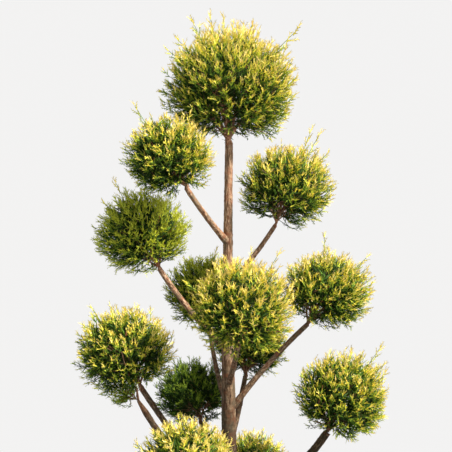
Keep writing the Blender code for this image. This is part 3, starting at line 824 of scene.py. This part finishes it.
def add_side_twigs(twigs, ball, path, thick, rng):
    """Twigs that leave a limblet's path and turn up. Returns their points."""
    joints = []
    for low, high in zip(path[2:-1], path[3:]):
        heading = unit(high - low)
        side = unit(np.cross(heading, rng.normal(0, 1, 3)))
        turn = unit(heading + 0.8 * side)
        reach = ball.radius * rng.uniform(*SIDE_TWIG_REACH)
        end = low + reach * unit(turn + 0.25 * np.array(UP))
        if depth_in(ball, end) > SIDE_TWIG_LIMIT:
            continue
        twig = curve_points(low, low + 0.5 * reach * turn, end, 4)
        add_twig(twigs, twig, thick * np.linspace(1, 0.5, 4) + 0.0004, rng.integers(0, GREEN_TWIG))
        joints.append(twig[1:])
    return joints


def join_sprays(twigs, fork, joints, roots, grow, rng):
    """A twiglet to each spray's root, from a joint that is near, behind it and nearer to the fork.

    Returns where each twiglet starts.
    """
    ways = roots[:, None] - joints[None]
    gaps = np.linalg.norm(ways, axis=2)
    turn = 1 - np.einsum("ijk,ik->ij", ways, grow) / np.maximum(gaps, 1e-6)
    past = np.linalg.norm(joints - fork, axis=1)[None] - np.linalg.norm(roots - fork, axis=1)[:, None]
    cost = gaps * rng.uniform(1, 1.3, gaps.shape) * (1 + TURN_COST * turn) + 0.8 * np.maximum(past, 0)
    starts = joints[np.argmin(cost, axis=1)]
    count = len(starts)
    twigs.add(
        rods(starts, roots, rng.normal(0, 1, starts.shape), np.full(count, TWIGLET_RADIUS), 0.8),
        ROD_FACES,
        np.where(rng.random(count) < GREEN_TWIGLETS, GREEN_TWIG, rng.integers(0, GREEN_TWIG, count)),
    )
    return starts


def make_tuft(limblets, twigs):
    """The unclipped tuft: a short stem that bends up, and sprays fanned round its end."""
    rng = np.random.default_rng(199)
    tip = np.array(bough_tip(TUFT))
    axis = unit(np.array(TUFT.centre) - tip)
    level = unit(np.cross(axis, np.array(UP)))
    rise = np.cross(level, axis)
    along = unit(np.array(bough_point(TUFT, 1) - bough_point(TUFT, 0.95)))
    knee = tip + 0.5 * TUFT.radius * along
    add_twig(limblets, [tip - 0.004 * along, knee], [bough_radius(TUFT, 1), TUFT_STEM_RADII[0]], 0, 8)
    k = np.arange(TUFT_SPRAYS)
    lean = TUFT_SPREAD * np.sqrt((k + 0.5) / TUFT_SPRAYS)
    turn = k * GOLDEN_TURN
    side = np.cos(turn)[:, None] * rise + TUFT_FLATNESS * np.sin(turn)[:, None] * level
    way = unit(leaning(axis, side, lean))
    tips = knee + (rng.uniform(*TUFT_REACH, TUFT_SPRAYS) * TUFT.radius)[:, None] * way
    roots = tips - TUFT_SPRAY_LENGTH * unit(way + rng.normal(0, 0.15, way.shape))
    keep = clear_of_limbs(tips, limb_segments(TUFT)) & ~in_other_space(TUFT, tips)
    roots, tips = roots[keep], tips[keep]
    normals = unit(rise + rng.normal(0, 0.5, tips.shape))
    growth = Growth()

    def score(points, share):
        return np.full(len(points), TUFT_TINT * (1 + share) + TUFT.gold)

    starts = knee + (rng.uniform(0, 1, (len(roots), 1)) * TUFT.radius) * axis
    add_sprays(growth, roots, tips, normals, score, rng, TUFT_SPRAY)
    add_leafy_twigs(growth, starts, roots, normals, score, rng)
    piece = growth.piece("foliage_low_left_tuft", FOLIAGE, "foliage")
    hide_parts("tuft_low_left")
    stem = [knee, knee + 0.4 * TUFT.radius * (axis + rise), knee + TUFT.radius * axis]
    add_twig(limblets, stem, TUFT_STEM_RADII, 0, LIMBLET_SIDES)
    twigs.add(
        rods(starts, roots, normals, np.full(len(roots), TUFT_TWIGLET_RADIUS), 0.7),
        ROD_FACES,
        rng.integers(0, GREEN_TWIG, len(roots)),
    )


# ---- materials


def fill(node, values):
    """Puts numbers, colours or other nodes' outputs on a node's inputs, by name or number. Gives the node."""
    for key, value in values.items():
        socket = node.inputs[key]
        if isinstance(value, bpy.types.NodeSocket):
            node.id_data.links.new(value, socket)
        else:
            socket.default_value = (*value, 1) if socket.type == "RGBA" else value
    return node


class Surface:
    """A material, and short ways to add nodes to it."""

    def __init__(self, name, colour, roughness, specular=0.3):
        self.material = bpy.data.materials.new(name)
        self.material.use_nodes = True
        self.nodes = self.material.node_tree.nodes
        self.shader = self.nodes["Principled BSDF"]
        fill(self.shader, {"Base Color": colour, "Roughness": roughness, "Specular IOR Level": specular})

    def node(self, kind, values):
        return fill(self.nodes.new("ShaderNode" + kind), values)

    def place(self):
        """Where a point is along the object's own axes."""
        return self.node("TexCoord", {}).outputs["Object"]

    def stretched(self, vector, stretch):
        return self.node("Mapping", {"Vector": vector, "Scale": stretch}).outputs["Vector"]

    def noise(self, vector, scale, detail, roughness):
        values = {"Vector": vector, "Scale": scale, "Detail": detail, "Roughness": roughness}
        return self.node("TexNoise", values).outputs["Fac"]

    def ramp(self, value, *stops):
        made = self.node("ValToRGB", {"Fac": value})
        elements = made.color_ramp.elements
        while len(elements) < len(stops):
            elements.new(0.5)
        for element, (at, colour) in zip(elements, stops):
            element.position = at
            element.color = (*colour, 1)
        return made.outputs["Color"]

    def mask(self, value, low, high, most):
        """Rises from nothing at low to most at high."""
        return self.ramp(value, (low, (0, 0, 0)), (high, (most, most, most)))

    def mix(self, factor, first, second, blend="MIX"):
        """Passes from first to second by factor."""
        made = self.node("Mix", {})
        made.data_type = "RGBA"
        made.blend_type = blend
        at = [socket.type for socket in made.inputs].index("RGBA")
        fill(made, {"Factor": factor, at: first, at + 1: second})
        return next(socket for socket in made.outputs if socket.type == "RGBA")

    def finish(self, colour, height, distance, strength):
        """Puts the colour and the fine relief on the shader, and gives the material."""
        bump = self.node("Bump", {"Height": height, "Distance": distance, "Strength": strength})
        fill(self.shader, {"Base Color": colour, "Normal": bump.outputs["Normal"]})
        return self.material


def bark_colours(surface, vector, scale):
    """Brown bark with reddish and grey-green patches and pale and dark marks. Gives colour and height."""
    plates = surface.noise(surface.stretched(vector, (1.5, 1.5, 0.45)), 2.6 * scale, 6, 0.68)
    patches = surface.noise(vector, 0.42 * scale, 3, 0.5)
    reds = surface.noise(surface.stretched(vector, (1, 1, 1.6)), 0.75 * scale, 4, 0.6)
    marks = surface.noise(surface.stretched(vector, (0.8, 0.8, 4.5)), 2.2 * scale, 5, 0.7)
    brown = surface.ramp(
        plates, (0.34, (0.060, 0.030, 0.017)), (0.48, (0.27, 0.155, 0.092)), (0.62, (0.74, 0.54, 0.40))
    )
    greyed = surface.mix(surface.mask(patches, 0.50, 0.62, 0.7), brown, (0.20, 0.165, 0.115))
    reddened = surface.mix(surface.mask(reds, 0.52, 0.66, 0.75), greyed, (0.36, 0.140, 0.070))
    rings = surface.ramp(
        marks, (0.34, (0.45, 0.38, 0.34)), (0.43, (1, 1, 1)), (0.58, (1, 1, 1)), (0.68, (1.5, 1.4, 1.3))
    )
    height = surface.node("Math", {0: plates, 1: marks})
    height.operation = "ADD"
    return surface.mix(1, reddened, rings, "MULTIPLY"), height.outputs[0]


def toned_by_height(surface, colour, low_tone, high_tone):
    """The colour times low_tone low down, passing into high_tone higher up."""
    low, high = BARK_DARKENING_HEIGHTS
    axes = surface.node("SeparateXYZ", {"Vector": surface.place()})
    height_share = surface.node("MapRange", {"Value": axes.outputs["Z"], "From Min": low, "From Max": high})
    tone = surface.ramp(height_share.outputs["Result"], (0, low_tone), (1, high_tone))
    return surface.mix(1, colour, tone, "MULTIPLY")


def bark_material():
    """Bark that follows each limb's own grain, and is darker and greener towards the ground."""
    surface = Surface("bark", (0.33, 0.20, 0.12), 0.8, 0.25)
    grain = surface.node("Attribute", {})
    grain.attribute_name = "bark_grain"
    colour, height = bark_colours(surface, grain.outputs["Vector"], 1)
    height_toned = toned_by_height(surface, colour, LOW_BARK_TONE, HIGH_BARK_TONE)
    return surface.finish(height_toned, height, 0.0014, 0.9)


def limblet_material():
    """The younger, redder bark of the stems and limblets inside the balls."""
    surface = Surface("limblet_bark", (0.22, 0.10, 0.05), 0.75, 0.25)
    colour, height = bark_colours(surface, surface.place(), 90)
    toned = toned_by_height(surface, colour, LOW_LIMBLET_TONE, HIGH_LIMBLET_TONE)
    return surface.finish(toned, height, 0.0008, 0.6)


def clay_material():
    """Unglazed terracotta with pale bloom and fine grit."""
    surface = Surface("clay", (0.52, 0.24, 0.13), 0.85, 0.25)
    where = surface.place()
    clay = surface.ramp(
        surface.noise(where, 9, 5, 0.6), (0.35, (0.29, 0.108, 0.052)), (0.65, (0.39, 0.165, 0.086))
    )
    bloom = surface.mask(surface.noise(where, 3.4, 7, 0.72), 0.50, 0.74, 0.45)
    colour = surface.mix(bloom, clay, (0.50, 0.38, 0.30))
    return surface.finish(colour, surface.noise(where, 420, 3, 0.7), 0.0005, 0.5)


def soil_material():
    """Dark compost with paler fibres."""
    surface = Surface("soil", (0.05, 0.035, 0.025), 0.95, 0.2)
    lumps = surface.noise(surface.place(), 130, 6, 0.7)
    colour = surface.ramp(
        lumps, (0.32, (0.014, 0.009, 0.006)), (0.55, (0.060, 0.038, 0.025)), (0.75, (0.15, 0.10, 0.065))
    )
    return surface.finish(colour, lumps, 0.004, 0.9)


def leaf_material(name, colour):
    """Leaves that soften the light as it spreads through them."""
    surface = Surface(name, colour, 0.6, 0.08)
    surface.shader.subsurface_method = "BURLEY"
    fill(surface.shader, {f"Subsurface {key}": value for key, value in LEAF_GLOW.items()})
    return surface.material


FOLIAGE = [leaf_material(name, colour) for name, colour, _ in TINTS]
TWIGS = [Surface(name, colour, 0.75).material for name, colour in TWIG_COLOURS]
CHIP_MATERIALS = [Surface(name, colour, 0.9).material for name, colour in CHIP_COLOURS]
BARK = bark_material()
LIMBLET = limblet_material()
CLAY = clay_material()
SOIL = soil_material()


# ---- pot and soil


def pot_radius(height):
    return POT_FOOT_RADIUS + (POT_RIM_RADIUS - RIM_BAND_PROUD - POT_FOOT_RADIUS) * height / POT_HEIGHT


def turned(profile, segments):
    """Vertices and faces of a solid of revolution about Z, closed on the axis at both ends."""
    turns = full_turn(segments)
    radii, heights = np.array(profile[1:-1]).T[..., None]
    rings = np.stack([radii * np.cos(turns), radii * np.sin(turns), np.repeat(heights, segments, 1)], axis=-1)
    verts = np.concatenate([rings.reshape(-1, 3), [[0, 0, profile[0][1]], [0, 0, profile[-1][1]]]])
    faces = ring_quads(len(radii), segments)
    last = (len(radii) - 1) * segments
    for k in range(segments):
        j = (k + 1) % segments
        faces.append((len(verts) - 2, j, k))
        faces.append((len(verts) - 1, last + k, last + j))
    return verts, faces


def rounded(x, z, start_deg, end_deg):
    """Points round an edge of the pot, about (x, z)."""
    angles = np.radians(np.linspace(start_deg, end_deg, POT_LIP_POINTS))
    return [(x + POT_LIP * math.cos(a), z + POT_LIP * math.sin(a)) for a in angles]


def make_pot():
    band_foot = POT_HEIGHT - RIM_BAND_HEIGHT
    rim_inside = POT_RIM_RADIUS - RIM_BAND_PROUD - POT_WALL
    wall_heights = np.linspace(2 * POT_LIP, band_foot - POT_LIP, 60)
    inside_heights = np.linspace(POT_HEIGHT - 2 * POT_LIP, POT_INSIDE_FOOT, 8)
    profile = [
        (0, 0),
        *rounded(POT_FOOT_RADIUS - POT_LIP, POT_LIP, -90, -5),
        *((pot_radius(z) - THROWING_MARKS * math.sin(z * THROWING_TURNS), z) for z in wall_heights),
        (pot_radius(band_foot), band_foot - 0.0005),
        *rounded(POT_RIM_RADIUS - POT_LIP, band_foot + POT_LIP, -90, 0),
        *rounded(POT_RIM_RADIUS - POT_LIP, POT_HEIGHT - POT_LIP, 0, 90),
        *rounded(rim_inside + POT_LIP, POT_HEIGHT - POT_LIP, 90, 180),
        *((pot_radius(z) - POT_WALL, z) for z in inside_heights),
        (0, POT_INSIDE_FOOT),
    ]
    verts, faces = turned(profile, POT_SIDES)
    piece = add_piece("clay_pot", verts, faces, [CLAY])
    piece.data.set_sharp_from_angle(angle=math.radians(50))
    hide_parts("pot")


def soil_height(x, y, edge):
    lump = noise.noise(Vector((x * 60, y * 60, 1))) + 0.5 * noise.noise(Vector((x * 170, y * 170, 5)))
    fall = SOIL_CROWN * (x * x + y * y) / edge**2
    return SOIL_LEVEL - SOIL_SKIN - fall + SOIL_LUMPS * lump


def make_soil():
    """The compost's crumbly top."""
    edge = pot_radius(SOIL_LEVEL) - POT_WALL - SOIL_GAP
    verts = []
    for radius in (edge * np.arange(1, SOIL_RINGS + 1) / SOIL_RINGS).tolist():
        for turn in full_turn(SOIL_SIDES).tolist():
            x, y = radius * math.cos(turn), radius * math.sin(turn)
            verts.append((x, y, soil_height(x, y, edge)))
    faces = [*ring_quads(SOIL_RINGS, SOIL_SIDES), tuple(range(SOIL_SIDES))]
    soil = add_piece("compost", verts, faces, [SOIL])
    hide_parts("soil")


def make_chips():
    """Chips of bark and grit that lie on the compost."""
    rng = np.random.default_rng(7)
    edge = pot_radius(SOIL_LEVEL) - POT_WALL - CHIP_SIZE[1]
    away = edge * np.sqrt(rng.uniform((CHIP_CLEAR_RADIUS / edge) ** 2, 1, CHIPS))
    turn = rng.uniform(0, 2 * math.pi, CHIPS)
    size = rng.uniform(*CHIP_SIZE, (CHIPS, 1))
    flat = np.stack([away * np.cos(turn), away * np.sin(turn)], axis=1)
    ground = np.array([soil_height(x, y, edge) for x, y in flat.tolist()])
    middle = np.concatenate([flat, ground[:, None] + 0.3 * CHIP_THICKNESS * size], axis=1)
    along = unit(rng.normal(0, 1, (CHIPS, 3)) * np.array([1, 1, 0.3]))
    across = unit(np.cross(along, rng.normal(0, 0.3, (CHIPS, 3)) + np.array(UP)))
    over = np.cross(across, along)
    arms = [size * along, CHIP_WIDTH * size * across, CHIP_THICKNESS * size * over]
    growth = Growth()
    growth.add(
        np.stack([middle + sign * arm for arm in arms for sign in (1, -1)], axis=1),
        CHIP_FACES,
        rng.integers(0, len(CHIP_COLOURS), CHIPS),
    )
    growth.piece("compost_chips", CHIP_MATERIALS, "soil", smooth=False)


# ---- stage


def make_floor():
    bpy.ops.mesh.primitive_circle_add(
        vertices=128, radius=FLOOR_RADIUS, fill_type="NGON", location=(0, 0, -FLOOR_DROP)
    )
    floor = bpy.context.object
    floor.name = "floor"
    floor.data.materials.append(Surface("floor", FLOOR_COLOUR, 0.9, 0.1).material)


def make_world():
    """A pale backdrop, and a softer light from all round."""
    world = bpy.data.worlds.new("studio")
    bpy.context.scene.world = world
    world.use_nodes = True
    nodes = world.node_tree.nodes
    seen = fill(nodes["Background"], {"Color": BACKDROP_COLOUR})
    light = fill(nodes.new("ShaderNodeBackground"), {"Color": SKY_COLOUR, "Strength": SKY_LIGHT})
    to_camera = nodes.new("ShaderNodeLightPath").outputs["Is Camera Ray"]
    mix = fill(nodes.new("ShaderNodeMixShader"), {0: to_camera, 1: light.outputs[0], 2: seen.outputs[0]})
    fill(nodes["World Output"], {"Surface": mix.outputs[0]})


def make_sun():
    sun = bpy.data.objects.new("sun", bpy.data.lights.new("sun", "SUN"))
    sun.data.energy = SUN_ENERGY
    sun.data.angle = SUN_ANGLE
    sun.data.color = SUN_COLOUR
    sun.rotation_euler = SUN_FROM.to_track_quat("Z", "Y").to_euler()
    bpy.context.scene.collection.objects.link(sun)


def make_camera():
    """The photograph's own view: level, from in front."""
    camera = bpy.data.objects.new("camera", bpy.data.cameras.new("camera"))
    camera.data.sensor_width = SENSOR_WIDTH
    camera.data.lens = SENSOR_WIDTH / 2 * CAMERA_DISTANCE / PHOTO_HALF_WIDTH
    camera.location = (CAMERA_SIDE, -CAMERA_DISTANCE, CAMERA_HEIGHT)
    camera.rotation_euler = (math.pi / 2, 0, 0)
    bpy.context.scene.collection.objects.link(camera)
    bpy.context.scene.camera = camera
    bpy.context.scene.view_settings.view_transform = "Standard"


make_floor()
make_world()
make_sun()
make_camera()
make_pot()
make_soil()
make_chips()
make_trunk()
for order, ball in enumerate((*BALLS[1:], TUFT)):
    make_bough(ball, 30 + order)
limblet_growth, twig_growth = Growth(), Growth()
for order, ball in enumerate(BALLS):
    make_ball(ball, order, limblet_growth, twig_growth)
make_tuft(limblet_growth, twig_growth)
limblet_growth.piece("limblets", [LIMBLET], "bark")
twig_growth.piece("twigs", TWIGS, "bark")
